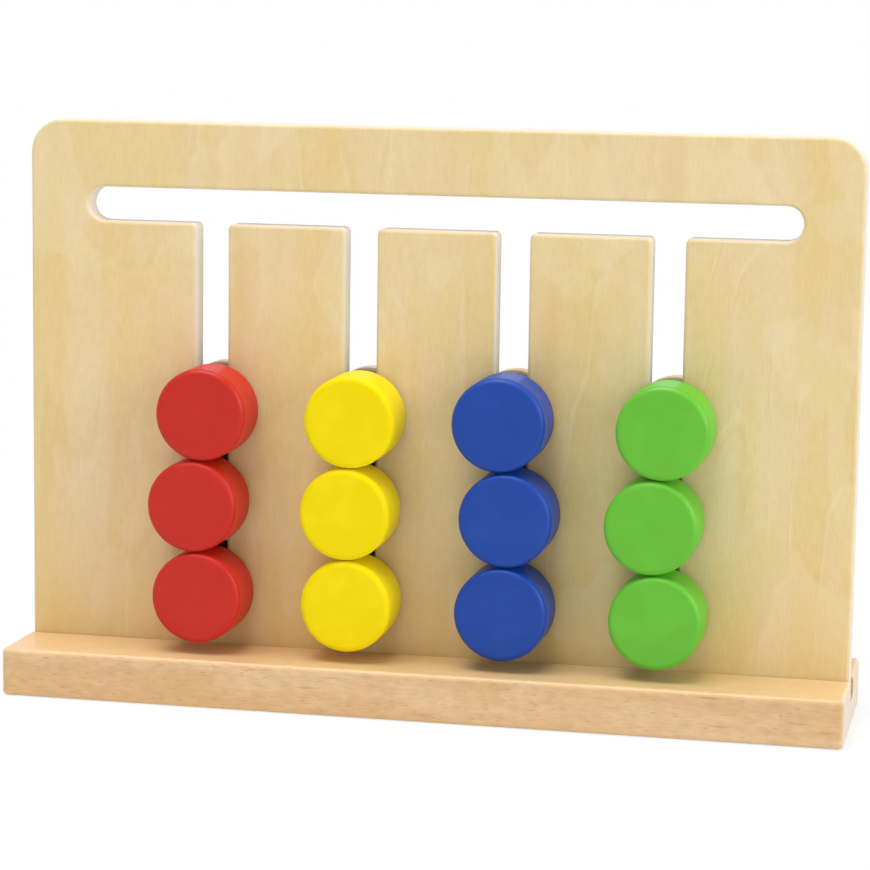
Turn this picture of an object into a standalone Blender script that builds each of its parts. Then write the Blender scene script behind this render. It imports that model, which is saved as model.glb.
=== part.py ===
"""Pattern matching game: a slotted panel stands in a base bar, and painted beads slide in its slots.

Units are metres and +Z is up. The origin is the middle of the base's underside, +X runs along the base,
and the side with the painted discs faces -Y.
"""

import math

import bpy
from mathutils import Vector

# Base bar
BASE_LENGTH = 0.303
BASE_DEPTH = 0.070
BASE_HEIGHT = 0.0174
BASE_ROUNDING = 0.0016
BASE_ROUNDING_STEPS = 2
GROOVE_DEPTH = 0.0070
GROOVE_CUTTER_LENGTH = 0.330

# Panel
PANEL_WIDTH = 0.3008
PANEL_SHIFT = 0.0004
PANEL_TOP = 0.207
PANEL_THICKNESS = 0.010
PANEL_CORNER = 0.012
PANEL_EDGE = 0.0008
FIT_GAP = 0.0003
GAP_UNDER_PANEL = 0.0008

# Channel and slots cut through the panel
CHANNEL_LENGTH = 0.258
CHANNEL_LOW = 0.1708
CHANNEL_HIGH = 0.1830
SLOT_WIDTH = 0.0118
SLOT_PITCH = 0.0550
SLOT_ROW_SHIFT = 0.0008
SLOT_BOTTOM = 0.0335
SLOT_MOUTH_ROUNDING = 0.0020
ARC_STEPS = 5
SAME_POINT = 0.000001

# Beads: a painted disc in front, a plain disc behind, and a dowel through the slot that joins them
FRONT_DISC_THICKNESS = 0.0200
FRONT_DISC_GAP = 0.0018
BACK_DISC_DIAMETER = 0.0315
BACK_DISC_THICKNESS = 0.0085
BACK_DISC_GAP = 0.0006
DISC_CHAMFER = 0.0014
DISC_SIDES = 24
DISC_MERGE_DISTANCE = 0.00001
DOWEL_DIAMETER = 0.0060
DOWEL_SIDES = 20
DOWEL_SHARP_ANGLE = math.radians(40)
SOCKET_DEPTH = 0.0070
DISC_CLEARANCE = 0.00025

# Each colour's column, left to right: the diameter of its painted discs, the height of its lowest bead,
# and how far its beads lean to one side in the slot, lowest bead first
COLUMNS = {
    "red": (0.0329, 0.0380, (0.0004, -0.0013, 0.0018)),
    "yellow": (0.0328, 0.0380, (0.0005, -0.0002, 0.0012)),
    "blue": (0.0333, 0.0382, (0.0015, 0.0026, -0.0004)),
    "green": (0.0331, 0.0384, (0.0012, -0.0010, 0.0023)),
}
LEVELS = ("bottom", "middle", "top")

# Colour and roughness of each finish
FINISHES = {
    "beech": ((0.72, 0.45, 0.22), 0.50),
    "plywood": ((0.78, 0.61, 0.35), 0.55),
    "plain_wood": ((0.66, 0.44, 0.24), 0.55),
    "red": ((0.55, 0.03, 0.02), 0.35),
    "yellow": ((0.91, 0.71, 0.01), 0.35),
    "blue": ((0.03, 0.08, 0.37), 0.35),
    "green": ((0.13, 0.49, 0.04), 0.35),
}


def clear_scene():
    for obj in list(bpy.data.objects):
        bpy.data.objects.remove(obj, do_unlink=True)


def make_collection(name):
    collection = bpy.data.collections.new(name)
    bpy.context.scene.collection.children.link(collection)
    return collection


def make_finish(owner, name):
    """A finish of its own for one sub-part."""
    colour, roughness = FINISHES[name]
    finish = bpy.data.materials.new(f"{owner}_{name}")
    finish.use_nodes = True
    shader = finish.node_tree.nodes["Principled BSDF"]
    shader.inputs["Base Color"].default_value = (*colour, 1.0)
    shader.inputs["Roughness"].default_value = roughness
    shader.inputs["Metallic"].default_value = 0.0
    return finish


def place(obj, collection, finish=None):
    """Moves the object into this collection and gives it its finish."""
    for old in list(obj.users_collection):
        old.objects.unlink(obj)
    collection.objects.link(obj)
    if finish:
        obj.data.materials.append(make_finish(obj.name, finish))
    return obj


def make_box(name, size, centre):
    bpy.ops.mesh.primitive_cube_add(size=1.0, location=centre)
    box = bpy.context.object
    box.name = name
    box.scale = size
    bpy.ops.object.transform_apply(location=False, rotation=False, scale=True)
    return box


def corner_arc(before, corner, after, radius):
    """Points of the arc of this radius that rounds one corner of a polygon."""
    to_before = (before - corner).normalized()
    to_after = (after - corner).normalized()
    half_angle = to_before.angle(to_after) / 2
    reach = radius / math.tan(half_angle)
    centre = corner + (to_before + to_after).normalized() * (radius / math.sin(half_angle))
    first = corner + to_before * reach - centre
    last = corner + to_after * reach - centre
    start = math.atan2(first.y, first.x)
    sweep = (math.atan2(last.y, last.x) - start + math.pi) % math.tau - math.pi
    angles = [start + sweep * step / ARC_STEPS for step in range(ARC_STEPS + 1)]
    return [centre + Vector((math.cos(a), math.sin(a))) * radius for a in angles]


def rounded_outline(corners):
    """Points round a polygon whose corners are (x, z, radius). A radius of 0 keeps the corner sharp."""
    points = []
    for index, (x, z, radius) in enumerate(corners):
        before = Vector(corners[index - 1][:2])
        after = Vector(corners[(index + 1) % len(corners)][:2])
        corner = Vector((x, z))
        points += corner_arc(before, corner, after, radius) if radius else [corner]
    return [p for p, q in zip(points, points[1:] + points[:1]) if (p - q).length > SAME_POINT]


def slot_centres():
    middle = (len(COLUMNS) - 1) / 2
    return [SLOT_ROW_SHIFT + (column - middle) * SLOT_PITCH for column in range(len(COLUMNS))]


def panel_outline():
    """The panel's edge: square at the foot, which stands in the groove, and round at the top corners."""
    left, right = PANEL_SHIFT - PANEL_WIDTH / 2, PANEL_SHIFT + PANEL_WIDTH / 2
    foot = BASE_HEIGHT - GROOVE_DEPTH + GAP_UNDER_PANEL
    return [
        (left, foot, 0),
        (right, foot, 0),
        (right, PANEL_TOP, PANEL_CORNER),
        (left, PANEL_TOP, PANEL_CORNER),
    ]


def cutout_outline():
    """The one opening: a channel with round ends, and a round-bottomed slot down from it for each column."""
    half = CHANNEL_LENGTH / 2
    end_radius = (CHANNEL_HIGH - CHANNEL_LOW) / 2
    slot_half = SLOT_WIDTH / 2
    left, right = SLOT_ROW_SHIFT - half, SLOT_ROW_SHIFT + half
    corners = [(left, CHANNEL_LOW, end_radius)]
    for x in slot_centres():
        corners += [
            (x - slot_half, CHANNEL_LOW, SLOT_MOUTH_ROUNDING),
            (x - slot_half, SLOT_BOTTOM, slot_half),
            (x + slot_half, SLOT_BOTTOM, slot_half),
            (x + slot_half, CHANNEL_LOW, SLOT_MOUTH_ROUNDING),
        ]
    corners += [
        (right, CHANNEL_LOW, end_radius),
        (right, CHANNEL_HIGH, end_radius),
        (left, CHANNEL_HIGH, end_radius),
    ]
    return corners


def make_panel(collection):
    """The outline and its opening as one filled curve, stood upright, with eased edges."""
    curve = bpy.data.curves.new("panel", "CURVE")
    curve.dimensions = "2D"
    curve.fill_mode = "BOTH"
    curve.extrude = PANEL_THICKNESS / 2 - PANEL_EDGE
    curve.bevel_depth = PANEL_EDGE
    curve.bevel_resolution = 0
    curve.offset = -PANEL_EDGE
    for corners in (panel_outline(), cutout_outline()):
        points = rounded_outline(corners)
        spline = curve.splines.new("POLY")
        spline.points.add(len(points) - 1)
        for target, point in zip(spline.points, points):
            target.co = (point.x, point.y, 0.0, 1.0)
        spline.use_cyclic_u = True
    panel = bpy.data.objects.new("panel", curve)
    panel.rotation_euler = (math.pi / 2, 0.0, 0.0)
    return place(panel, collection, "plywood")


def make_base(collection, cutters):
    """A bar with rounded edges and a groove along its whole top for the panel."""
    base = make_box("base", (BASE_LENGTH, BASE_DEPTH, BASE_HEIGHT), (0.0, 0.0, BASE_HEIGHT / 2))
    rounding = base.modifiers.new("rounded_edges", "BEVEL")
    rounding.width = BASE_ROUNDING
    rounding.segments = BASE_ROUNDING_STEPS
    groove_width = PANEL_THICKNESS + 2 * FIT_GAP
    groove = make_box(
        "groove_cutter",
        (GROOVE_CUTTER_LENGTH, groove_width, GROOVE_DEPTH * 2),
        (0.0, 0.0, BASE_HEIGHT),
    )
    groove.hide_render = True
    groove.display_type = "WIRE"
    place(groove, cutters)
    cut = base.modifiers.new("groove", "BOOLEAN")
    cut.operation = "DIFFERENCE"
    cut.solver = "EXACT"
    cut.object = groove
    return place(base, collection, "beech")


def disc_mesh(name, diameter, thickness):
    """Half of a disc's section: outer face, chamfered rim, inner face and the dowel's blind socket."""
    radius = diameter / 2
    socket = DOWEL_DIAMETER / 2 + FIT_GAP
    section = [
        (0.0, thickness),
        (radius - DISC_CHAMFER, thickness),
        (radius, thickness - DISC_CHAMFER),
        (radius, DISC_CHAMFER),
        (radius - DISC_CHAMFER, 0.0),
        (socket, 0.0),
        (socket, SOCKET_DEPTH),
        (0.0, SOCKET_DEPTH),
    ]
    mesh = bpy.data.meshes.new(name)
    points = [(x, 0.0, z) for x, z in section]
    edges = [(i, i + 1) for i in range(len(points) - 1)]
    mesh.from_pydata(points, edges, [])
    return mesh


def make_disc(name, size, gap, facing, bead, collection, finish):
    """A turned disc whose socket side is held off the panel. Facing -1 is the front and 1 is the back."""
    disc = bpy.data.objects.new(name, disc_mesh(name, *size))
    turn = disc.modifiers.new("turned", "SCREW")
    turn.axis = "Z"
    turn.steps = DISC_SIDES
    turn.render_steps = DISC_SIDES
    turn.use_merge_vertices = True
    turn.merge_threshold = DISC_MERGE_DISTANCE
    turn.use_smooth_shade = True
    disc.modifiers.new("flat_faces", "WEIGHTED_NORMAL")
    disc.parent = bead
    disc.location = (0.0, facing * (PANEL_THICKNESS / 2 + gap), 0.0)
    disc.rotation_euler = (-facing * math.pi / 2, 0.0, 0.0)
    return place(disc, collection, finish)


def make_dowel(name, bead, collection):
    """The bead's spindle, from the bottom of one disc's socket to the bottom of the other's."""
    front = PANEL_THICKNESS / 2 + FRONT_DISC_GAP + SOCKET_DEPTH - FIT_GAP
    back = PANEL_THICKNESS / 2 + BACK_DISC_GAP + SOCKET_DEPTH - FIT_GAP
    bpy.ops.mesh.primitive_cylinder_add(
        vertices=DOWEL_SIDES,
        radius=DOWEL_DIAMETER / 2,
        depth=front + back,
        location=(0.0, (back - front) / 2, 0.0),
        rotation=(math.pi / 2, 0.0, 0.0),
    )
    dowel = bpy.context.object
    dowel.name = name
    dowel.parent = bead
    dowel.data.shade_smooth()
    dowel.data.set_sharp_from_angle(angle=DOWEL_SHARP_ANGLE)
    return place(dowel, collection, "plain_wood")


def make_bead(colour, level, centre, diameter, collection):
    """One bead on an empty at its middle, on the axis that it turns about."""
    bead = bpy.data.objects.new(f"{colour}_bead_{level}", None)
    bead.location = centre
    collection.objects.link(bead)
    front = (diameter, FRONT_DISC_THICKNESS)
    back = (BACK_DISC_DIAMETER, BACK_DISC_THICKNESS)
    make_disc(f"{colour}_disc_{level}", front, FRONT_DISC_GAP, -1, bead, collection, colour)
    make_disc(f"{colour}_back_disc_{level}", back, BACK_DISC_GAP, 1, bead, collection, "plain_wood")
    make_dowel(f"{colour}_dowel_{level}", bead, collection)


def main():
    clear_scene()
    parts = make_collection("pattern_matching_game")
    cutters = make_collection("cutters")
    make_base(parts, cutters)
    make_panel(parts)
    for (colour, column), slot_x in zip(COLUMNS.items(), slot_centres()):
        diameter, lowest, leans = column
        for row, (level, lean) in enumerate(zip(LEVELS, leans)):
            centre = (slot_x + lean, 0.0, lowest + row * (diameter + DISC_CLEARANCE))
            make_bead(colour, level, centre, diameter, parts)


main()
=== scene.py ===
"""Looks of a pattern matching game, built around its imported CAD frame.

A slotted plywood panel stands in a beech base bar. Twelve beads slide in its slots, and each bead is a
painted disc in front, a plain disc behind and a dowel through the slot. Units are metres, +Z is up, and the
painted discs face -Y. The file is laid out as an add-on and run as a script.
"""

import math

import bmesh
import bpy
import numpy as np
from bpy.props import FloatProperty, FloatVectorProperty, PointerProperty
from mathutils import Matrix, Vector
from mathutils.geometry import tessellate_polygon


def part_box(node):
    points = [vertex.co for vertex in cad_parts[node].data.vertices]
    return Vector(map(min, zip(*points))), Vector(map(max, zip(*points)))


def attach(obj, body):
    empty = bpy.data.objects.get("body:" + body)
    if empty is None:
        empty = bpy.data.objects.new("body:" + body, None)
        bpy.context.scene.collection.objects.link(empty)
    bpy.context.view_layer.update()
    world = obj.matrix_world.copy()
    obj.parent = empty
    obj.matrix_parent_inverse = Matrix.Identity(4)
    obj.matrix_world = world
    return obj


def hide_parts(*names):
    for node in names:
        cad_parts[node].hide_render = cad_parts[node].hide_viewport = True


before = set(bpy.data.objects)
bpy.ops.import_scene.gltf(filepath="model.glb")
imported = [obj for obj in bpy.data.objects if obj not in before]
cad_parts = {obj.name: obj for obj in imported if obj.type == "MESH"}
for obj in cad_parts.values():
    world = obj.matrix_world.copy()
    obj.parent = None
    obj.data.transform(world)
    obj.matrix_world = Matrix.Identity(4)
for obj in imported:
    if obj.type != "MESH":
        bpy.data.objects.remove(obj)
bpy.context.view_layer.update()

bl_info = {
    "name": "Pattern matching game",
    "version": (1, 0, 0),
    "blender": (4, 5, 0),
    "location": "View3D > Sidebar > Matching game",
    "description": "Makes the base bar, slotted panel, beads and studio of a pattern matching game",
    "category": "Add Mesh",
}

COLOURS = ("red", "yellow", "blue", "green")
LEVELS = ("bottom", "middle", "top")
BASE_LOW, BASE_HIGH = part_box("base")
PANEL_LOW, PANEL_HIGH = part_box("panel")
DOWEL_LOW, DOWEL_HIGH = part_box("red_dowel_bottom")

# Steps of each rounding, and sides of the turned pieces
CORNER_STEPS = 16
EDGE_STEPS = 6
DISC_SIDES = 128
DOWEL_SIDES = 48
SHARP_ANGLE = math.radians(40)
SAME_POINT = 1e-7

# Plywood: thickness of the face veneers, how many layers are glued between them, and the heights between
# which a painted warm bounce light, standing in for light thrown back by the beech base, grows towards the
# foot
VENEER = 0.0004
PLY_LAYERS = 5
FOOT_BOUNCE = (0.080, 0.018)

# How much of the core's colour shows in every layer of a cut edge, how much more in every second one, and
# how much rougher the edge is than a face
LAYER_SHARE = 0.65
SECOND_LAYER_MORE = 0.35
EDGE_ROUGHER = 0.24

# How much of each mark shows in the plywood, the beech and the turned wood
PLY_SHARE = {
    "streaks": 0.45,
    "pale_lines": 0.18,
    "dark_lines": 0.16,
    # foot: painted warm bounce light from the base, towards the panel's foot
    "foot": 0.30,
    "clouds": 0.16,
    "glue": 0.50,
}
BEECH_SHARE = {"small_flecks": 0.55, "long_flecks": 0.40, "top": 0.55, "rings": 0.50}
PORE_SHARE = 0.30

# How much fewer flecks the base's top shows, how deep flecks and glue lines sink, and how far the base's
# flecks and the back discs' grain lean
TOP_PLAINER = 0.65
FLECK_SINK = 0.8
GLUE_SINK = 0.8
FLECK_LEAN = math.radians(6)
DISC_GRAIN_LEAN = math.radians(25)

# Painted shade on the back discs' inner faces, standing in for the deep shadow in the gap between them and
# the panel: how much of the shade colour each level takes on
PAINTED_SHADE_SHARE = {"bottom": 0.88, "middle": 0.88, "top": 0.45}

# Wood figure: shares of the long bands and of the clouds among them
BAND_SHARE = 0.6
CLOUD_SHARE = 0.4

# Growth lines: how far they wander, how much finer their gaps are than they are, and where in each step of
# the contours the lines of a pair stand
LINE_WANDER = 0.03
GAP_FINER = 1.6
LINE_MIDDLES = {"Pale": 0.5, "Dark": 0.6}

# Flecks: the least part of its cell that a fleck reaches over, and how much more it may be
FLECK_REACH = 0.18
FLECK_VARIES = 0.24

# Paint: gain and lift of its colour where it is thin, how much of that shows, and the relief of the fibres
# beneath it and of its orange peel
THIN_PAINT = (1.12, 0.008)
THIN_SHARE = 0.55
FIBRE_RELIEF = 0.7
PEEL_RELIEF = 0.5

# The paint's weak sheen, with the gain and lift of the paint's colour in it
PAINT_SHEEN = 0.5
SHEEN_ROUGHNESS = 0.35
SHEEN_TINT = (1.3, 0.02)

# Specular levels
PLY_GLOSS = 0.45
BEECH_GLOSS = 0.40
TURNED_GLOSS = 0.35
PAINT_GLOSS = {"red": 0.30, "yellow": 0.10, "blue": 0.35, "green": 0.50}

# The range of a soft noise, and the roughness at its two ends
NOISE_RANGE = (0.3, 0.7)
PLY_ROUGHNESS = (0.36, 0.46)
BEECH_ROUGHNESS = (0.30, 0.40)
TURNED_ROUGHNESS = (0.48, 0.60)
PAINT_ROUGHNESS = (0.36, 0.46)

# Strength and depth of each bump
PLY_BUMP = (0.18, 0.0004)
BEECH_BUMP = (0.16, 0.0004)
TURNED_BUMP = (0.20, 0.0004)
PAINT_BUMP = (0.12, 0.0003)

# Floor, place and size of each lamp, and width of the camera's frame in millimetres
FLOOR_RADIUS = 8.0
FLOOR_SIDES = 96
FLOOR_DROP = 0.0002
FLOOR_FADE = (0.2, 0.7)
FLOOR_GREY = 0.88
LAMPS = {
    "top_lamp": ((-0.30, -0.60, 2.80), 1.8),
    "right_lamp": ((5.00, -1.75, 1.90), 3.2),
    "back_lamp": ((1.60, 2.20, 1.50), 1.8),
}
FRAME_WIDTH = 36.0
WHITE = (1.0, 1.0, 1.0, 1.0)


def screen_colour(red, green, blue):
    """The linear colour of an 8-bit screen colour: the sRGB curve undone, channel by channel."""
    values = np.array((red, green, blue)) / 255
    linear = np.where(values <= 0.04045, values / 12.92, ((values + 0.055) / 1.055) ** 2.4)
    return tuple(float(v) for v in linear)


def length(name, description, default):
    """A setting in metres."""
    return FloatProperty(
        name=name, description=description, default=default, min=0.0, precision=5, unit="LENGTH"
    )


def angle(name, description, degrees):
    """A setting that is an angle, with its default in degrees."""
    return FloatProperty(name=name, description=description, default=math.radians(degrees), subtype="ANGLE")


def colour(name, description, *screen):
    """A setting that is a colour, with its default as an 8-bit screen colour."""
    return FloatVectorProperty(
        name=name, description=description, default=screen_colour(*screen), min=0.0, max=1.0, subtype="COLOR"
    )


def power(name, description, watts):
    """A setting in watts."""
    return FloatProperty(name=name, description=description, default=watts, min=0.0, unit="POWER")


class BoardSizes(bpy.types.PropertyGroup):
    """Sizes of the base bar and of the panel that stands in it."""

    base_rounding: length("Base rounding", "Radius along the base bar's long edges", 0.0018)
    end_rounding: length("End rounding", "Radius round the base bar's two ends", 0.0017)
    groove_depth: length("Groove depth", "Depth of the groove that holds the panel's foot", 0.0070)
    groove_gap: length("Groove gap", "Room between the panel's foot and each side of its groove", 0.0003)
    groove_easing: length("Groove easing", "Radius at the groove's edges", 0.0003)
    panel_corner: length("Panel corner", "Radius of the panel's two top corners", 0.0120)
    foot_corner: length("Foot corner", "Radius of the panel's two corners in the groove", 0.0005)
    panel_edge: length("Panel edge", "Radius of the panel's sanded edges", 0.0013)
    channel_length: length("Channel length", "Length of the channel across the panel", 0.2580)
    channel_low: length("Channel low", "Height of the channel's lower side", 0.1708)
    channel_high: length("Channel high", "Height of the channel's upper side", 0.1830)
    slot_width: length("Slot width", "Width of the four slots", 0.0118)
    slot_pitch: length("Slot pitch", "Distance between slots", 0.0550)
    slot_shift: length("Slot shift", "How far the row of slots stands to the right of the middle", 0.0008)
    slot_bottom: length("Slot bottom", "Height of the slots' round lower ends", 0.0335)
    slot_mouth: length("Slot mouth", "Radius of the corners where a slot meets the channel", 0.0020)


class BeadSizes(bpy.types.PropertyGroup):
    """Sizes of the beads' turned pieces."""

    face_rounding: length("Face rounding", "Radius round a painted disc's face", 0.0022)
    back_rounding: length("Back rounding", "Radius round a plain back disc's edges", 0.0016)
    inner_rounding: length("Inner rounding", "Radius round the edges that face the panel", 0.0012)
    socket_gap: length("Socket gap", "Room between a dowel and its socket", 0.0003)
    socket_depth: length("Socket depth", "Depth of a disc's blind socket", 0.0070)
    socket_easing: length("Socket easing", "Chamfer at the socket's mouth", 0.0004)
    dowel_chamfer: length("Dowel chamfer", "Chamfer at a dowel's ends", 0.0006)


class WoodColours(bpy.types.PropertyGroup):
    """Colours of the wooden pieces."""

    ply_pale: colour("Ply pale", "Pale wood of the panel's faces", 229, 206, 160)
    ply_warm: colour("Ply warm", "Warm bands in the panel's faces", 224, 198, 135)
    ply_streak: colour("Ply streak", "Rare brown streaks in the panel's faces", 214, 172, 104)
    # Painted bounce light: the warm light that the beech base throws onto the panel's foot
    ply_painted_bounce: colour("Ply foot", "Warm tone towards the panel's foot", 224, 187, 106)
    ply_line: colour("Ply line", "Growth lines in the panel's faces", 243, 230, 196)
    ply_core: colour("Ply core", "Layers whose fibres run into the panel's edge", 221, 213, 199)
    ply_glue: colour("Ply glue", "Glue between the panel's layers", 190, 170, 138)
    beech_pale: colour("Beech pale", "Pale wood of the base bar", 223, 189, 144)
    beech_warm: colour("Beech warm", "Warm bands in the base bar", 213, 172, 122)
    # Partly the quarter-sawn top's own tone and partly painted light: the top is drawn lighter where the
    # overhead light falls
    beech_top_tone_and_light: colour("Beech top", "Quarter-sawn wood on top of the base bar", 227, 192, 139)
    beech_end: colour("Beech end", "End grain of the base bar", 211, 193, 169)
    beech_fleck: colour("Beech fleck", "Short dark flecks in beech", 166, 118, 76)
    disc_pale: colour("Back disc pale", "Pale wood of the back discs", 238, 216, 184)
    disc_warm: colour("Back disc warm", "Warm bands in the back discs", 224, 194, 152)
    # Painted shade: a dark colour for the back discs' faces towards the panel, standing in for the deep
    # shadow in the gap
    disc_rubbed: colour("Back disc rubbed", "Back discs' faces where they rub on the panel", 60, 41, 28)
    dowel_pale: colour("Dowel pale", "Pale wood of the dowels", 222, 196, 156)
    dowel_warm: colour("Dowel warm", "Streaks in the dowels", 202, 166, 120)


class PaintColours(bpy.types.PropertyGroup):
    """Colours of the painted discs."""

    red: colour("Red", "Paint of the red discs", 191, 32, 18)
    yellow: colour("Yellow", "Paint of the yellow discs", 239, 214, 1)
    blue: colour("Blue", "Paint of the blue discs", 2, 60, 153)
    green: colour("Green", "Paint of the green discs", 92, 180, 33)


class StudioSettings(bpy.types.PropertyGroup):
    """Camera and light."""

    camera_place: FloatVectorProperty(
        name="Camera place",
        description="Where the camera stands",
        default=(0.22036, -1.02910, 0.25410),
        subtype="TRANSLATION",
        unit="LENGTH",
    )
    camera_yaw: angle("Camera yaw", "How far the camera stands round to the right", 12.08)
    camera_pitch: angle("Camera pitch", "How far the camera looks down", 8.48)
    camera_roll: angle("Camera roll", "How far the camera leans", 0.82)
    camera_lens: FloatProperty(
        name="Camera lens", description="Focal length for a frame 36 mm wide", default=122.84, unit="CAMERA"
    )
    room_light: FloatProperty(
        name="Room light", description="Strength of the even light from all round", default=0.40, min=0.0
    )
    top_lamp: power("Top lamp", "Soft lamp overhead", 64.0)
    right_lamp: power("Right lamp", "Large soft lamp, far to the right", 140.0)
    back_lamp: power("Back lamp", "Soft lamp behind", 18.0)
    floor_white: FloatProperty(
        name="Floor white",
        description="How much of the floor's look is plain white, the rest being lit",
        default=0.75,
        min=0.0,
        max=1.0,
        subtype="FACTOR",
    )


SETTINGS = {
    "game_board": BoardSizes,
    "game_beads": BeadSizes,
    "game_woods": WoodColours,
    "game_paints": PaintColours,
    "game_studio": StudioSettings,
}


# Surfaces


def unit(vectors):
    """Vectors cut to length 1."""
    return vectors / np.linalg.norm(vectors, axis=-1, keepdims=True)


def rounded_outline(corners, steps):
    """Points round a polygon with rounded corners, and the normals that point out of it.

    Corners are rows of (x, y, radius), turning to the left. Each is replaced by the arc that touches both of
    its sides: the arc's centre is on the bisector, radius / sin(half the corner's angle) from the corner.
    """
    corners = np.asarray(corners, float)
    points, radius = corners[:, :2], corners[:, 2:]
    to_before = unit(np.roll(points, 1, axis=0) - points)
    to_after = unit(np.roll(points, -1, axis=0) - points)
    half = np.arccos((to_before * to_after).sum(-1, keepdims=True)) / 2
    centres = points + unit(to_before + to_after) * radius / np.sin(half)
    first = points + to_before * radius / np.tan(half) - centres
    last = points + to_after * radius / np.tan(half) - centres
    start = np.arctan2(first[:, 1], first[:, 0])
    sweep = (np.arctan2(last[:, 1], last[:, 0]) - start + math.pi) % math.tau - math.pi
    turn = start[:, None] + sweep[:, None] * np.linspace(0.0, 1.0, steps + 1)
    radial = np.stack([np.cos(turn), np.sin(turn)], -1)
    outline = (centres[:, None] + radial * radius[:, None]).reshape(-1, 2)
    normals = (radial * np.sign(sweep)[:, None, None]).reshape(-1, 2)
    apart = np.linalg.norm(outline - np.roll(outline, -1, axis=0), axis=-1) > SAME_POINT
    return outline[apart], normals[apart]


def quarter_round(radius, steps):
    """Inset and depth of a quarter circle that leads from a flat face to the wall beside it.

    At angle t from 0 to 90 degrees the inset is radius (1 - sin t) and the depth is radius (1 - cos t).
    """
    turn = np.linspace(0.0, math.pi / 2, steps + 1)
    return radius * (1.0 - np.sin(turn)), radius * (1.0 - np.cos(turn))


def grid_faces(rows, columns, start=0):
    """Quads of a grid of rows that close round on themselves, its points numbered row by row from start."""
    row, column = np.meshgrid(np.arange(rows - 1), np.arange(columns), indexing="ij")
    after = (column + 1) % columns
    quads = np.stack([row * columns + column, row * columns + after, (row + 1) * columns + after], -1)
    quads = np.concatenate([quads, ((row + 1) * columns + column)[..., None]], -1)
    return (quads.reshape(-1, 4) + start).tolist()


def closed_tube(rings):
    """Points and faces of a tube through rings of points, closed by a flat face at each end.

    Rings have the shape (ring, point, 3), and quads join each point to the one in the next ring.
    """
    count, around = rings.shape[:2]
    faces = grid_faces(count, around)
    faces.append(list(range(around)))
    faces.append(list(range((count - 1) * around, count * around)))
    return rings.reshape(-1, 3), faces


def turned(profile, centre_x, centre_z, sides):
    """A turned piece on an axis along Y. Profile rows are (radius, y).

    The point of row i at angle a is (x + radius_i cos a, y_i, z + radius_i sin a), and the ends are flat.
    """
    profile = np.asarray(profile, float)
    around = np.linspace(0.0, math.tau, sides, endpoint=False)
    radius, along = profile[:, :1], profile[:, 1:]
    rings = np.stack(
        [
            centre_x + radius * np.cos(around),
            np.broadcast_to(along, (len(profile), sides)),
            centre_z + radius * np.sin(around),
        ],
        -1,
    )
    return closed_tube(rings)


def make_piece(context, name, surface, body, node, finish):
    """A new object from points and faces that rides a body and stands for a CAD node."""
    points, faces = surface
    mesh = bpy.data.meshes.new(name)
    mesh.from_pydata(points, [], faces)
    shell = bmesh.new()
    shell.from_mesh(mesh)
    bmesh.ops.recalc_face_normals(shell, faces=shell.faces)
    shell.to_mesh(mesh)
    shell.free()
    mesh.shade_smooth()
    mesh.set_sharp_from_angle(angle=SHARP_ANGLE)
    mesh.materials.append(finish)
    piece = bpy.data.objects.new(name, mesh)
    context.scene.collection.objects.link(piece)
    flats = piece.modifiers.new("flat_faces", "WEIGHTED_NORMAL")
    flats.keep_sharp = True
    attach(piece, body)
    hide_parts(node)
    return piece


def base_surface(sizes):
    """The base bar: a rounded section with a groove in its top, carried along X.

    Towards each end the section shrinks by the inset of a quarter circle, which rounds the end's edges. The
    groove's floor and sides stay where they are.
    """
    depth = BASE_HIGH.y - BASE_LOW.y
    middle = (BASE_HIGH.y + BASE_LOW.y) / 2
    groove = PANEL_HIGH.y + sizes.groove_gap
    floor = BASE_HIGH.z - sizes.groove_depth
    easing = sizes.groove_easing

    def section(x, inset):
        side = depth / 2 - inset
        low, high = BASE_LOW.z + inset, BASE_HIGH.z - inset
        radius = sizes.base_rounding - inset
        corners = [
            (middle - side, low, radius),
            (middle + side, low, radius),
            (middle + side, high, radius),
            (groove, high, easing),
            (groove, floor, easing),
            (-groove, floor, easing),
            (-groove, high, easing),
            (middle - side, high, radius),
        ]
        outline, _ = rounded_outline(corners, EDGE_STEPS)
        return np.insert(outline, 0, x, axis=1)

    insets, reach = quarter_round(sizes.end_rounding, EDGE_STEPS)
    left = [section(BASE_LOW.x + r, i) for r, i in zip(reach, insets)]
    right = [section(BASE_HIGH.x - r, i) for r, i in zip(reach, insets)]
    return closed_tube(np.array(left + right[::-1]))


def panel_outline(sizes):
    """Corners of the panel's edge, from its foot in the groove round to its two round top corners."""
    return [
        (PANEL_LOW.x, PANEL_LOW.z, sizes.foot_corner),
        (PANEL_HIGH.x, PANEL_LOW.z, sizes.foot_corner),
        (PANEL_HIGH.x, PANEL_HIGH.z, sizes.panel_corner),
        (PANEL_LOW.x, PANEL_HIGH.z, sizes.panel_corner),
    ]


def opening_outline(sizes):
    """Corners of the one opening: a channel with round ends, and four round-bottomed slots down from it."""
    reach = sizes.channel_length / 2
    low, high = sizes.channel_low, sizes.channel_high
    end = (high - low) / 2
    half = sizes.slot_width / 2
    middle = (len(COLOURS) - 1) / 2
    corners = [(sizes.slot_shift - reach, low, end)]
    for column in range(len(COLOURS)):
        x = sizes.slot_shift + (column - middle) * sizes.slot_pitch
        corners += [
            (x - half, low, sizes.slot_mouth),
            (x - half, sizes.slot_bottom, half),
            (x + half, sizes.slot_bottom, half),
            (x + half, low, sizes.slot_mouth),
        ]
    corners += [
        (sizes.slot_shift + reach, low, end),
        (sizes.slot_shift + reach, high, end),
        (sizes.slot_shift - reach, high, end),
    ]
    return corners


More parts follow.
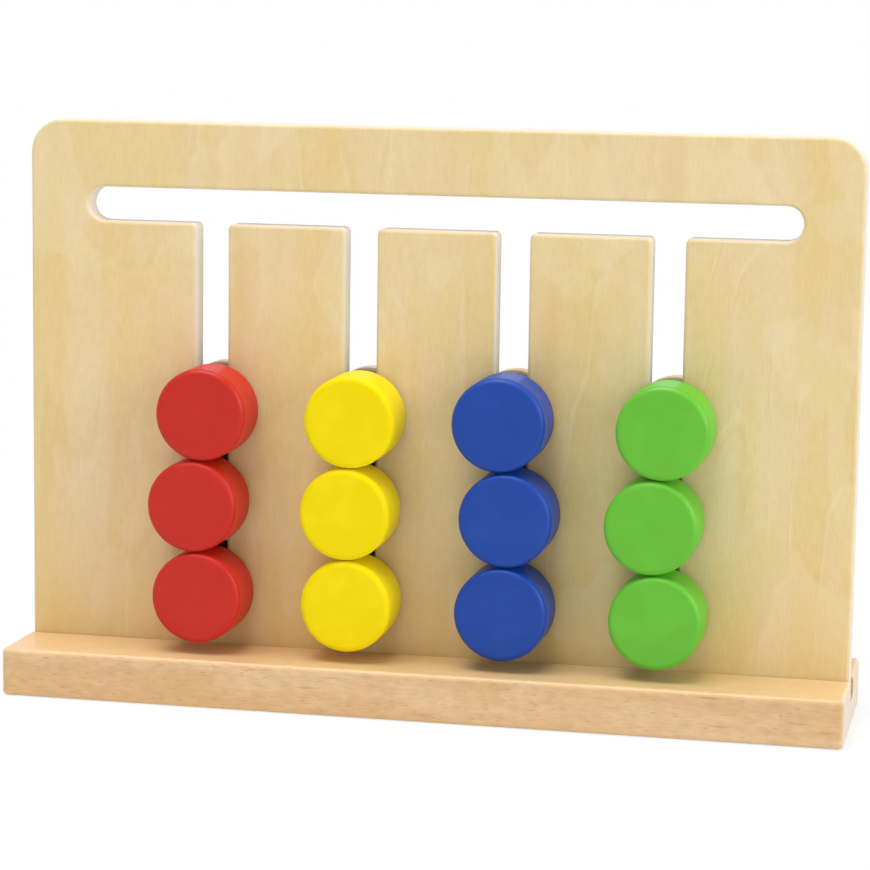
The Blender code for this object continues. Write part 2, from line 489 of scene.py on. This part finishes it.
def panel_wall(corners, into_wood, sizes):
    """One wall of the panel: its outline carried through the thickness along a rounded edge profile.

    The point of profile row j is the outline's point moved into the wood along the outline's normal by inset
    j, at depth j. Rows run from the front face to the back face.
    """
    outline, normals = rounded_outline(corners, CORNER_STEPS)
    inset, depth = quarter_round(sizes.panel_edge, EDGE_STEPS)
    insets = np.concatenate([inset, inset[::-1]])
    depths = np.concatenate([PANEL_LOW.y + depth, PANEL_HIGH.y - depth[::-1]])
    flat = outline + into_wood * normals * insets[:, None, None]
    across = np.broadcast_to(depths[:, None], flat.shape[:2])
    return np.stack([flat[..., 0], across, flat[..., 1]], -1)


def panel_surface(sizes):
    """The panel: the walls of its edge and its opening, and two flat faces that join them.

    The front face joins the walls' first rows and the back face their last, in the same triangles.
    """
    outer = panel_wall(panel_outline(sizes), -1.0, sizes)
    opening = panel_wall(opening_outline(sizes), 1.0, sizes)
    rows, edge_count = outer.shape[:2]
    opening_count = opening.shape[1]
    shift = rows * edge_count
    faces = grid_faces(rows, edge_count) + grid_faces(rows, opening_count, shift)
    loops = [[(x, z, 0.0) for x, _, z in wall[0]] for wall in (outer, opening)]
    triangles = np.array(tessellate_polygon(loops))
    in_opening = triangles >= edge_count
    front = np.where(in_opening, triangles - edge_count + shift, triangles)
    back = front + np.where(in_opening, (rows - 1) * opening_count, (rows - 1) * edge_count)
    points = np.concatenate([outer.reshape(-1, 3), opening.reshape(-1, 3)])
    return points, faces + front.tolist() + back.tolist()


def disc_surface(node, facing, outer_rounding, sizes):
    """A disc turned from its outer face over two rounded edges to its inner face and its blind socket.

    Facing -1 is a front disc, whose outer face is at its lowest y, and 1 is a back disc.
    """
    low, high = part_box(node)
    outer, inner = (low.y, high.y) if facing < 0 else (high.y, low.y)
    radius = (high.z - low.z) / 2
    socket = (DOWEL_HIGH.z - DOWEL_LOW.z) / 2 + sizes.socket_gap
    inset, depth = quarter_round(outer_rounding, EDGE_STEPS)
    inner_inset, inner_depth = quarter_round(sizes.inner_rounding, EDGE_STEPS)
    face = np.stack([radius - inset, outer - facing * depth], -1)
    back = np.stack([radius - inner_inset, inner + facing * inner_depth], -1)[::-1]
    hole = [
        (socket + sizes.socket_easing, inner),
        (socket, inner + facing * sizes.socket_easing),
        (socket, inner + facing * sizes.socket_depth),
    ]
    profile = np.concatenate([face, back, hole])
    return turned(profile, (low.x + high.x) / 2, (low.z + high.z) / 2, DISC_SIDES)


def dowel_surface(node, sizes):
    """A dowel turned with a chamfer at each end."""
    low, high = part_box(node)
    radius = (high.z - low.z) / 2
    chamfer = sizes.dowel_chamfer
    profile = [
        (radius - chamfer, low.y),
        (radius, low.y + chamfer),
        (radius, high.y - chamfer),
        (radius - chamfer, high.y),
    ]
    return turned(profile, (low.x + high.x) / 2, (low.z + high.z) / 2, DOWEL_SIDES)


# Finishes


def put(tree, socket, value):
    """Sets a socket to a value, or joins another node's output to it."""
    if isinstance(value, bpy.types.NodeSocket):
        tree.links.new(value, socket)
    else:
        socket.default_value = value


def add_node(tree, kind, inputs=None, **settings):
    """A new node, with its settings and inputs set."""
    node = tree.nodes.new(kind)
    for name, value in settings.items():
        setattr(node, name, value)
    for name, value in (inputs or {}).items():
        put(tree, node.inputs[name], value)
    return node


def calc(tree, operation, *values):
    """A Math node's result."""
    return add_node(tree, "ShaderNodeMath", dict(enumerate(values)), operation=operation).outputs[0]


def stretch(tree, vector, scale):
    """A vector scaled axis by axis."""
    inputs = {0: vector, 1: scale}
    return add_node(tree, "ShaderNodeVectorMath", inputs, operation="MULTIPLY").outputs[0]


def ease(tree, value, low, high, to_low=0.0, to_high=1.0):
    """A value carried smoothly from one range to another, and held at its ends."""
    inputs = {"Value": value, "From Min": low, "From Max": high, "To Min": to_low, "To Max": to_high}
    return add_node(tree, "ShaderNodeMapRange", inputs, interpolation_type="SMOOTHSTEP").outputs[0]


def noise(tree, vector, scale, detail=2.0, distortion=0.0):
    """A soft noise's value."""
    inputs = {"Vector": vector, "Scale": scale, "Detail": detail, "Distortion": distortion}
    return add_node(tree, "ShaderNodeTexNoise", inputs).outputs[0]


def drawn_out(tree, vector, squeeze):
    """A vector squeezed along Z, so that a noise on it is drawn out along the fibres."""
    return stretch(tree, vector, (1.0, 1.0, squeeze))


def blend(tree, amount, first, second, how="MIX"):
    """Two colours mixed by an amount."""
    inputs = {0: amount, 6: first, 7: second}
    mixed = add_node(tree, "ShaderNodeMix", inputs, data_type="RGBA", blend_type=how)
    return mixed.outputs[2]


def mark(tree, mask, share, under, over):
    """One colour laid over another by a share of a mask."""
    return blend(tree, calc(tree, "MULTIPLY", mask, share), under, over)


def opaque(rgb):
    """A colour with full alpha."""
    return (*rgb, 1.0)


def lightened(rgb, gain, lift):
    """A colour multiplied by a gain and lifted, channel by channel, and held at 1."""
    return [min(1.0, value * gain + lift) for value in rgb]


def new_group(name, inputs, outputs):
    """A shader node group with named sockets.

    Inputs are rows of (name, kind, default), and outputs are rows of (name, kind).
    """
    group = bpy.data.node_groups.new(name, "ShaderNodeTree")
    for label, kind, default in inputs:
        socket = group.interface.new_socket(label, in_out="INPUT", socket_type="NodeSocket" + kind)
        if default is not None:
            socket.default_value = default
    for label, kind in outputs:
        group.interface.new_socket(label, in_out="OUTPUT", socket_type="NodeSocket" + kind)
    entry = group.nodes.new("NodeGroupInput")
    leave = group.nodes.new("NodeGroupOutput")
    return group, entry.outputs, leave.inputs


def use_group(tree, group, **inputs):
    """A group placed in a material. Words of a socket's name are joined by underscores here."""
    node = add_node(tree, "ShaderNodeGroup", node_tree=group)
    for name, value in inputs.items():
        put(tree, node.inputs[name.replace("_", " ")], value)
    return node.outputs


def shared_group(name, build):
    """The node group of this name, built on first use."""
    return bpy.data.node_groups.get(name) or build(name)


def build_wood_figure(name):
    """Wood whose fibres run along Z: broad soft bands from pale to warm, under short fibres and a mottle."""
    group, given, result = new_group(
        name,
        [
            ("Vector", "Vector", None),
            ("Pale", "Color", (0.8, 0.6, 0.4, 1.0)),
            ("Warm", "Color", (0.7, 0.5, 0.3, 1.0)),
            ("Band Scale", "Float", 40.0),
            ("Fibre", "Float", 0.1),
        ],
        [("Color", "Color"), ("Height", "Float")],
    )
    place, scale = given["Vector"], given["Band Scale"]
    broad = noise(group, drawn_out(group, place, squeeze=0.05), scale, detail=2.0, distortion=0.3)
    cloud = noise(group, drawn_out(group, place, squeeze=0.4), scale, detail=3.0, distortion=0.6)
    bands = calc(group, "MULTIPLY_ADD", broad, BAND_SHARE, calc(group, "MULTIPLY", cloud, CLOUD_SHARE))
    wood = blend(group, ease(group, bands, low=0.34, high=0.66), given["Pale"], given["Warm"])
    fibres = noise(group, drawn_out(group, place, squeeze=0.20), scale=1150.0, detail=3.0)
    mottle = noise(group, drawn_out(group, place, squeeze=0.6), scale=380.0, detail=3.0)
    grain = calc(group, "ADD", mottle, fibres)
    lift = calc(group, "MULTIPLY_ADD", calc(group, "SUBTRACT", grain, 1.0), given["Fibre"], 1.0)
    shade = add_node(group, "ShaderNodeCombineColor", {0: lift, 1: lift, 2: lift}).outputs[0]
    put(group, result["Color"], blend(group, 1.0, wood, shade, "MULTIPLY"))
    put(group, result["Height"], fibres)
    return group


def build_growth_lines(name):
    """Growth lines in pairs, a pale one with a dark one beside it, that fade in and out.

    They are contours of a soft noise that is drawn out along Z and made ragged by a finer one.
    """
    group, given, result = new_group(
        name,
        [
            ("Vector", "Vector", None),
            ("Scale", "Float", 12.0),
            ("Levels", "Float", 8.0),
            ("Width", "Float", 0.06),
        ],
        [("Pale", "Float"), ("Dark", "Float")],
    )
    place, scale = given["Vector"], given["Scale"]
    soft = noise(group, drawn_out(group, place, squeeze=0.22), scale, detail=1.0)
    ragged = noise(group, drawn_out(group, place, squeeze=0.4), scale=150.0, detail=2.0)
    field = calc(group, "MULTIPLY_ADD", calc(group, "SUBTRACT", ragged, 0.5), LINE_WANDER, soft)
    step = calc(group, "FRACT", calc(group, "MULTIPLY", field, given["Levels"]))
    patches = noise(group, place, calc(group, "MULTIPLY", scale, GAP_FINER), detail=1.0)
    shown = ease(group, patches, low=0.42, high=0.60)
    for line, middle in LINE_MIDDLES.items():
        away = calc(group, "ABSOLUTE", calc(group, "SUBTRACT", step, middle))
        put(group, result[line], calc(group, "MULTIPLY", ease(group, away, given["Width"], 0.0), shown))
    return group


def build_ray_flecks(name):
    """Short flecks along Z: the middles of long thin cells, kept in some of the cells only."""
    group, given, result = new_group(
        name,
        [
            ("Vector", "Vector", None),
            ("Length", "Float", 0.004),
            ("Width", "Float", 0.0012),
            ("Share", "Float", 0.5),
        ],
        [("Mask", "Float")],
    )
    across = calc(group, "DIVIDE", 1.0, given["Width"])
    along = calc(group, "DIVIDE", 1.0, given["Length"])
    cells = add_node(group, "ShaderNodeCombineXYZ", {0: across, 1: across, 2: along}).outputs[0]
    spread = stretch(group, given["Vector"], cells)
    cell = add_node(group, "ShaderNodeTexVoronoi", {"Vector": spread, "Scale": 1.0}).outputs
    chance = add_node(group, "ShaderNodeSeparateColor", {0: cell["Color"]}).outputs
    kept = calc(group, "LESS_THAN", chance[0], given["Share"])
    reach = calc(group, "MULTIPLY_ADD", chance[1], FLECK_VARIES, FLECK_REACH)
    fleck = ease(group, calc(group, "DIVIDE", cell["Distance"], reach), low=1.0, high=0.2)
    put(group, result["Mask"], calc(group, "MULTIPLY", fleck, kept))
    return group


def build_paint_skin(name):
    """Sprayed paint on turned wood: faint clouds of thinner paint, orange peel and the fibres beneath it."""
    group, given, result = new_group(
        name,
        [
            ("Vector", "Vector", None),
            ("Paint", "Color", (0.5, 0.5, 0.5, 1.0)),
            ("Thin", "Color", (0.6, 0.6, 0.6, 1.0)),
        ],
        [("Color", "Color"), ("Roughness", "Float"), ("Height", "Float")],
    )
    place = given["Vector"]
    clouds = noise(group, place, scale=95.0, detail=3.0, distortion=0.4)
    peel = noise(group, place, scale=1700.0, detail=2.0)
    fibres = noise(group, drawn_out(group, place, squeeze=0.05), scale=900.0, detail=2.0)
    thin = ease(group, clouds, low=0.40, high=0.80)
    put(group, result["Color"], mark(group, thin, THIN_SHARE, given["Paint"], given["Thin"]))
    put(group, result["Roughness"], ease(group, clouds, *NOISE_RANGE, *PAINT_ROUGHNESS))
    relief = calc(group, "MULTIPLY_ADD", fibres, FIBRE_RELIEF, calc(group, "MULTIPLY", peel, PEEL_RELIEF))
    put(group, result["Height"], relief)
    return group


def new_finish(name, specular):
    """A material with a Principled shader, and the object's own coordinates in metres."""
    finish = bpy.data.materials.new(name)
    finish.use_nodes = True
    tree = finish.node_tree
    shader = tree.nodes["Principled BSDF"]
    shader.inputs["Specular IOR Level"].default_value = specular
    place = add_node(tree, "ShaderNodeTexCoord").outputs["Object"]
    return finish, tree, shader.inputs, place


def grain_along(tree, place, axis, lean=0.0):
    """Coordinates turned so that the named axis becomes Z, along which the wood groups run their fibres."""
    turns = {"X": (0.0, math.pi / 2 + lean, 0.0), "Y": (math.pi / 2, 0.0, 0.0), "Z": (0.0, lean, 0.0)}
    return add_node(tree, "ShaderNodeMapping", {"Vector": place, "Rotation": turns[axis]}).outputs[0]


def rough_up(tree, shader, height, strength, distance):
    """Bump from a height that changes over the surface."""
    inputs = {"Height": height, "Strength": strength, "Distance": distance}
    put(tree, shader["Normal"], add_node(tree, "ShaderNodeBump", inputs).outputs[0])


def veneer(tree, place, height, woods):
    """Colour and relief of the plywood's faces.

    Over wood with upright grain lie rare streaks, growth lines, painted warm bounce light from the base
    towards the foot, and pale clouds.
    """
    figure = shared_group("wood_figure", build_wood_figure)
    lines = shared_group("growth_lines", build_growth_lines)
    pale, warm = opaque(woods.ply_pale), opaque(woods.ply_warm)
    brown, light = opaque(woods.ply_streak), opaque(woods.ply_line)
    face = use_group(tree, figure, Vector=place, Pale=pale, Warm=warm, Band_Scale=62.0, Fibre=0.12)
    bands = noise(tree, drawn_out(tree, place, squeeze=0.08), scale=38.0, detail=1.0)
    streaks = ease(tree, bands, low=0.64, high=0.80)
    streaked = mark(tree, streaks, PLY_SHARE["streaks"], face["Color"], brown)
    growth = use_group(tree, lines, Vector=place, Scale=15.0, Levels=11.0, Width=0.05)
    lit = mark(tree, growth["Pale"], PLY_SHARE["pale_lines"], streaked, light)
    lined = mark(tree, growth["Dark"], PLY_SHARE["dark_lines"], lit, brown)
    # Painted bounce light: the base's warm reflected light, painted onto the panel towards its foot
    foot = ease(tree, height, *FOOT_BOUNCE, 0.0, PLY_SHARE["foot"])
    bounce_lit = blend(tree, foot, lined, opaque(woods.ply_painted_bounce))
    mist = noise(tree, drawn_out(tree, place, squeeze=0.6), scale=24.0, detail=3.0, distortion=0.5)
    clouds = ease(tree, mist, low=0.56, high=0.585)
    return mark(tree, clouds, PLY_SHARE["clouds"], bounce_lit, light), face["Height"]


def plywood_finish(woods):
    """Pale veneer with upright grain on both faces, and the glued layers on the sawn and sanded edges.

    The layers are a function of depth alone: the core starts one veneer below each face, and its layers
    alternate with a thin line of glue between them.
    """
    finish, tree, shader, place = new_finish("plywood_panel", PLY_GLOSS)
    along = add_node(tree, "ShaderNodeSeparateXYZ", {0: place}).outputs
    depth, height = along[1], along[2]
    face, fibres = veneer(tree, place, height, woods)
    core_half = (PANEL_HIGH.y - PANEL_LOW.y) / 2 - VENEER
    layer = 2 * core_half / PLY_LAYERS
    into = calc(tree, "DIVIDE", calc(tree, "ADD", depth, core_half), layer)
    second = calc(tree, "LESS_THAN", calc(tree, "FLOORED_MODULO", into, 2.0), 1.0)
    core = calc(tree, "LESS_THAN", calc(tree, "ABSOLUTE", depth), core_half)
    glue_near = calc(tree, "ABSOLUTE", calc(tree, "SUBTRACT", calc(tree, "FRACT", into), 0.5))
    glue = calc(tree, "MULTIPLY", ease(tree, glue_near, low=0.42, high=0.49), core)
    shown = calc(tree, "MULTIPLY_ADD", second, SECOND_LAYER_MORE, LAYER_SHARE)
    layers = blend(tree, calc(tree, "MULTIPLY", shown, core), face, opaque(woods.ply_core))
    put(tree, shader["Base Color"], mark(tree, glue, PLY_SHARE["glue"], layers, opaque(woods.ply_glue)))
    satin = ease(tree, fibres, *NOISE_RANGE, *PLY_ROUGHNESS)
    put(tree, shader["Roughness"], calc(tree, "MULTIPLY_ADD", core, EDGE_ROUGHER, satin))
    relief = calc(tree, "SUBTRACT", fibres, calc(tree, "MULTIPLY", glue, GLUE_SINK))
    rough_up(tree, shader, relief, *PLY_BUMP)
    return finish


def beech_finish(woods):
    """Beech with its grain along the bar.

    Its front and back have dark flecks, its top is plainer, and its two ends show end grain.
    """
    finish, tree, shader, place = new_finish("beech_base", BEECH_GLOSS)
    figure = shared_group("wood_figure", build_wood_figure)
    flecks = shared_group("ray_flecks", build_ray_flecks)
    lines = shared_group("growth_lines", build_growth_lines)
    grain = grain_along(tree, place, "X")
    leaning = grain_along(tree, place, "X", FLECK_LEAN)
    pale, warm = opaque(woods.beech_pale), opaque(woods.beech_warm)
    wood = use_group(tree, figure, Vector=grain, Pale=pale, Warm=warm, Band_Scale=95.0, Fibre=0.30)
    small = use_group(tree, flecks, Vector=leaning, Length=0.0058, Width=0.0011, Share=0.60)["Mask"]
    long = use_group(tree, flecks, Vector=grain, Length=0.014, Width=0.0014, Share=0.14)["Mask"]
    rings = use_group(tree, lines, Vector=grain, Scale=26.0, Levels=16.0, Width=0.2)["Dark"]
    facing = add_node(tree, "ShaderNodeTexCoord").outputs["Normal"]
    sides = add_node(tree, "ShaderNodeSeparateXYZ", {0: facing}).outputs
    end = ease(tree, calc(tree, "ABSOLUTE", sides[0]), low=0.5, high=0.9)
    top = calc(tree, "ABSOLUTE", sides[2])
    small_shown = calc(tree, "MULTIPLY", small, BEECH_SHARE["small_flecks"])
    long_shown = calc(tree, "MULTIPLY", long, BEECH_SHARE["long_flecks"])
    fleck = calc(tree, "MAXIMUM", small_shown, long_shown)
    on_side = calc(tree, "MULTIPLY_ADD", top, -TOP_PLAINER, calc(tree, "SUBTRACT", 1.0, end))
    shown = calc(tree, "MULTIPLY", fleck, calc(tree, "MAXIMUM", on_side, 0.0))
    # Top of the bar: its quarter-sawn tone together with painted top light
    toned = mark(tree, top, BEECH_SHARE["top"], wood["Color"], opaque(woods.beech_top_tone_and_light))
    flecked = blend(tree, shown, toned, opaque(woods.beech_fleck))
    end_grain = mark(tree, rings, BEECH_SHARE["rings"], opaque(woods.beech_end), warm)
    put(tree, shader["Base Color"], blend(tree, end, flecked, end_grain))
    put(tree, shader["Roughness"], ease(tree, wood["Height"], *NOISE_RANGE, *BEECH_ROUGHNESS))
    relief = calc(tree, "SUBTRACT", wood["Height"], calc(tree, "MULTIPLY", shown, FLECK_SINK))
    rough_up(tree, shader, relief, *BEECH_BUMP)
    return finish


def turned_wood_finish(name, pale, warm, fleck, axis, lean=0.0, painted_shade=None):
    """Plain turned wood: grain along the named axis, with a few short pores.

    Painted shade is (unshaded, dark, shade colour, amount): from the depth unshaded to the depth dark, the
    wood takes on that amount of the shade colour, which stands in for the shadow near the panel.
    """
    finish, tree, shader, place = new_finish(name, TURNED_GLOSS)
    figure = shared_group("wood_figure", build_wood_figure)
    flecks = shared_group("ray_flecks", build_ray_flecks)
    grain = grain_along(tree, place, axis, lean)
    pale, warm = opaque(pale), opaque(warm)
    wood = use_group(tree, figure, Vector=grain, Pale=pale, Warm=warm, Band_Scale=150.0, Fibre=0.16)
    pores = use_group(tree, flecks, Vector=grain, Length=0.006, Width=0.0013, Share=0.5)["Mask"]
    look = mark(tree, pores, PORE_SHARE, wood["Color"], opaque(fleck))
    # Painted shade towards the panel, growing with depth
    if painted_shade is not None:
        clean, dark, shade_colour, amount = painted_shade
        depth = add_node(tree, "ShaderNodeSeparateXYZ", {0: place}).outputs[1]
        look = blend(tree, ease(tree, depth, clean, dark, 0.0, amount), look, opaque(shade_colour))
    put(tree, shader["Base Color"], look)
    put(tree, shader["Roughness"], ease(tree, wood["Height"], *NOISE_RANGE, *TURNED_ROUGHNESS))
    rough_up(tree, shader, wood["Height"], *TURNED_BUMP)
    return finish


def paint_finish(name, paint):
    """Satin paint over turned wood, with a weak sheen in its own colour."""
    finish, tree, shader, place = new_finish(f"{name}_paint", PAINT_GLOSS[name])
    skin = shared_group("paint_skin", build_paint_skin)
    thin = opaque(lightened(paint, *THIN_PAINT))
    grain = grain_along(tree, place, "Y")
    coat = use_group(tree, skin, Vector=grain, Paint=opaque(paint), Thin=thin)
    put(tree, shader["Base Color"], coat["Color"])
    put(tree, shader["Roughness"], coat["Roughness"])
    put(tree, shader["Sheen Weight"], PAINT_SHEEN)
    put(tree, shader["Sheen Roughness"], SHEEN_ROUGHNESS)
    put(tree, shader["Sheen Tint"], opaque(lightened(paint, *SHEEN_TINT)))
    rough_up(tree, shader, coat["Height"], *PAINT_BUMP)
    return finish


# Stage


def seen_directly(tree):
    """1 where the camera, a reflection or a clear piece sees the surface, and 0 for the light it gives."""
    path = add_node(tree, "ShaderNodeLightPath").outputs
    seen = calc(tree, "MAXIMUM", path["Is Camera Ray"], path["Is Glossy Ray"])
    return calc(tree, "MAXIMUM", seen, path["Is Transmission Ray"])


def make_floor(context, white):
    """A pale round floor, fading into the white room.

    Part of its look is plain white, and the rest is lit and keeps shadows.
    """
    around = np.linspace(0.0, math.tau, FLOOR_SIDES, endpoint=False)
    flat = np.full(FLOOR_SIDES, -FLOOR_DROP)
    rim = np.stack([FLOOR_RADIUS * np.cos(around), FLOOR_RADIUS * np.sin(around), flat], -1)
    mesh = bpy.data.meshes.new("floor")
    mesh.from_pydata(rim, [], [list(range(FLOOR_SIDES))])
    finish = bpy.data.materials.new("floor")
    finish.use_nodes = True
    tree = finish.node_tree
    tree.nodes.clear()
    lit = add_node(tree, "ShaderNodeBsdfDiffuse", {"Color": opaque([FLOOR_GREY] * 3)}).outputs[0]
    plain = add_node(tree, "ShaderNodeEmission", {"Color": WHITE, "Strength": 1.0}).outputs[0]
    place = add_node(tree, "ShaderNodeTexCoord").outputs["Object"]
    away = add_node(tree, "ShaderNodeVectorMath", {0: place}, operation="LENGTH").outputs["Value"]
    amount = calc(tree, "MULTIPLY", seen_directly(tree), ease(tree, away, *FLOOR_FADE, white, 1.0))
    look = add_node(tree, "ShaderNodeMixShader", {0: amount, 1: lit, 2: plain}).outputs[0]
    add_node(tree, "ShaderNodeOutputMaterial", {"Surface": look})
    mesh.materials.append(finish)
    floor = bpy.data.objects.new("floor", mesh)
    context.scene.collection.objects.link(floor)


def make_room(context, light):
    """The world: even light from all round, and plain white where it is looked at."""
    world = bpy.data.worlds.new("white_room")
    world.use_nodes = True
    tree = world.node_tree
    tree.nodes.clear()
    even = add_node(tree, "ShaderNodeBackground", {"Color": WHITE, "Strength": light}).outputs[0]
    plain = add_node(tree, "ShaderNodeBackground", {"Color": WHITE, "Strength": 1.0}).outputs[0]
    look = add_node(tree, "ShaderNodeMixShader", {0: seen_directly(tree), 1: even, 2: plain}).outputs[0]
    add_node(tree, "ShaderNodeOutputWorld", {"Surface": look})
    context.scene.world = world


def make_lamp(context, name, watts):
    """A soft square lamp that points at the middle of the panel."""
    place, size = LAMPS[name]
    lamp = bpy.data.lights.new(name, "AREA")
    lamp.shape = "SQUARE"
    lamp.size = size
    lamp.energy = watts
    held = bpy.data.objects.new(name, lamp)
    aim = (PANEL_LOW + PANEL_HIGH) / 2
    to_lamp = Vector(place) - aim
    held.matrix_world = Matrix.Translation(place) @ to_lamp.to_track_quat("Z", "Y").to_matrix().to_4x4()
    context.scene.collection.objects.link(held)


def make_camera(context, studio):
    """The camera, turned to the right by its yaw, down by its pitch and about its own axis by its roll."""
    camera = bpy.data.cameras.new("camera")
    camera.sensor_width = FRAME_WIDTH
    camera.lens = studio.camera_lens
    stand = bpy.data.objects.new("camera", camera)
    turn = (
        Matrix.Rotation(studio.camera_yaw, 4, "Z")
        @ Matrix.Rotation(math.pi / 2 - studio.camera_pitch, 4, "X")
        @ Matrix.Rotation(studio.camera_roll, 4, "Z")
    )
    stand.matrix_world = Matrix.Translation(studio.camera_place) @ turn
    context.scene.collection.objects.link(stand)
    context.scene.camera = stand


# Operators


class MakeBaseBar(bpy.types.Operator):
    """Makes the beech bar that the panel stands in"""

    bl_idname = "matching_game.base_bar"
    bl_label = "Base bar"

    def execute(self, context):
        surface = base_surface(context.scene.game_board)
        finish = beech_finish(context.scene.game_woods)
        make_piece(context, "base_bar", surface, "board", "base", finish)
        return {"FINISHED"}


class MakeSlottedPanel(bpy.types.Operator):
    """Makes the plywood panel with its channel and slots"""

    bl_idname = "matching_game.slotted_panel"
    bl_label = "Slotted panel"

    def execute(self, context):
        surface = panel_surface(context.scene.game_board)
        finish = plywood_finish(context.scene.game_woods)
        make_piece(context, "slotted_panel", surface, "board", "panel", finish)
        return {"FINISHED"}


class MakePaintedDiscs(bpy.types.Operator):
    """Makes the twelve painted discs in front of the panel"""

    bl_idname = "matching_game.painted_discs"
    bl_label = "Painted discs"

    def execute(self, context):
        sizes = context.scene.game_beads
        for shade in COLOURS:
            finish = paint_finish(shade, getattr(context.scene.game_paints, shade))
            for level in LEVELS:
                node = f"{shade}_disc_{level}"
                surface = disc_surface(node, -1, sizes.face_rounding, sizes)
                name = f"{shade}_painted_disc_{level}"
                make_piece(context, name, surface, f"{shade}_bead_{level}", node, finish)
        return {"FINISHED"}


class MakeBackDiscs(bpy.types.Operator):
    """Makes the twelve plain discs behind the panel"""

    bl_idname = "matching_game.back_discs"
    bl_label = "Back discs"

    def execute(self, context):
        sizes = context.scene.game_beads
        woods = context.scene.game_woods
        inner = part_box("red_back_disc_bottom")[0].y
        # Painted shade on each back disc's face towards the panel: none where its inner rounding starts,
        # full from the rounding's middle onto the face
        depths = (inner + sizes.inner_rounding, inner + sizes.inner_rounding / 2)
        look = (woods.disc_pale, woods.disc_warm, woods.beech_fleck, "Z", DISC_GRAIN_LEAN)
        for level in LEVELS:
            painted_shade = (*depths, woods.disc_rubbed, PAINTED_SHADE_SHARE[level])
            finish = turned_wood_finish(f"plain_back_disc_{level}", *look, painted_shade)
            for shade in COLOURS:
                node = f"{shade}_back_disc_{level}"
                surface = disc_surface(node, 1, sizes.back_rounding, sizes)
                name = f"{shade}_plain_disc_{level}"
                make_piece(context, name, surface, f"{shade}_bead_{level}", node, finish)
        return {"FINISHED"}


class MakeDowels(bpy.types.Operator):
    """Makes the twelve dowels that join the discs through the slots"""

    bl_idname = "matching_game.dowels"
    bl_label = "Dowels"

    def execute(self, context):
        sizes = context.scene.game_beads
        woods = context.scene.game_woods
        finish = turned_wood_finish("dowel_rod", woods.dowel_pale, woods.dowel_warm, woods.beech_fleck, "Y")
        for shade in COLOURS:
            for level in LEVELS:
                node = f"{shade}_dowel_{level}"
                name = f"{shade}_dowel_rod_{level}"
                surface = dowel_surface(node, sizes)
                make_piece(context, name, surface, f"{shade}_spindle_{level}", node, finish)
        return {"FINISHED"}


class MakeStudio(bpy.types.Operator):
    """Makes the floor, the room's light, the lamps and the camera"""

    bl_idname = "matching_game.studio"
    bl_label = "Studio"

    def execute(self, context):
        studio = context.scene.game_studio
        context.scene.view_settings.view_transform = "Standard"
        make_floor(context, studio.floor_white)
        make_room(context, studio.room_light)
        for name in LAMPS:
            make_lamp(context, name, getattr(studio, name))
        make_camera(context, studio)
        return {"FINISHED"}


class MatchingGamePanel(bpy.types.Panel):
    """Lists the pieces to make and the sizes and colours to change"""

    bl_idname = "VIEW3D_PT_matching_game"
    bl_label = "Pattern matching game"
    bl_space_type = "VIEW_3D"
    bl_region_type = "UI"
    bl_category = "Matching game"

    def draw(self, context):
        for operator in OPERATORS:
            self.layout.operator(operator.bl_idname)
        for name, kind in SETTINGS.items():
            box = self.layout.box()
            settings = getattr(context.scene, name)
            for setting in kind.__annotations__:
                box.prop(settings, setting)


OPERATORS = (MakeBaseBar, MakeSlottedPanel, MakePaintedDiscs, MakeBackDiscs, MakeDowels, MakeStudio)
CLASSES = (*SETTINGS.values(), *OPERATORS, MatchingGamePanel)


def register():
    """Makes the classes known, and hangs the settings on the scene."""
    for kind in CLASSES:
        bpy.utils.register_class(kind)
    for name, kind in SETTINGS.items():
        setattr(bpy.types.Scene, name, PointerProperty(type=kind))


def unregister():
    """Undoes what register does."""
    for name in SETTINGS:
        delattr(bpy.types.Scene, name)
    for kind in reversed(CLASSES):
        bpy.utils.unregister_class(kind)


def main():
    """Makes every piece and the studio."""
    register()
    bpy.ops.matching_game.base_bar()
    bpy.ops.matching_game.slotted_panel()
    bpy.ops.matching_game.painted_discs()
    bpy.ops.matching_game.back_discs()
    bpy.ops.matching_game.dowels()
    bpy.ops.matching_game.studio()


if __name__ == "__main__":
    main()
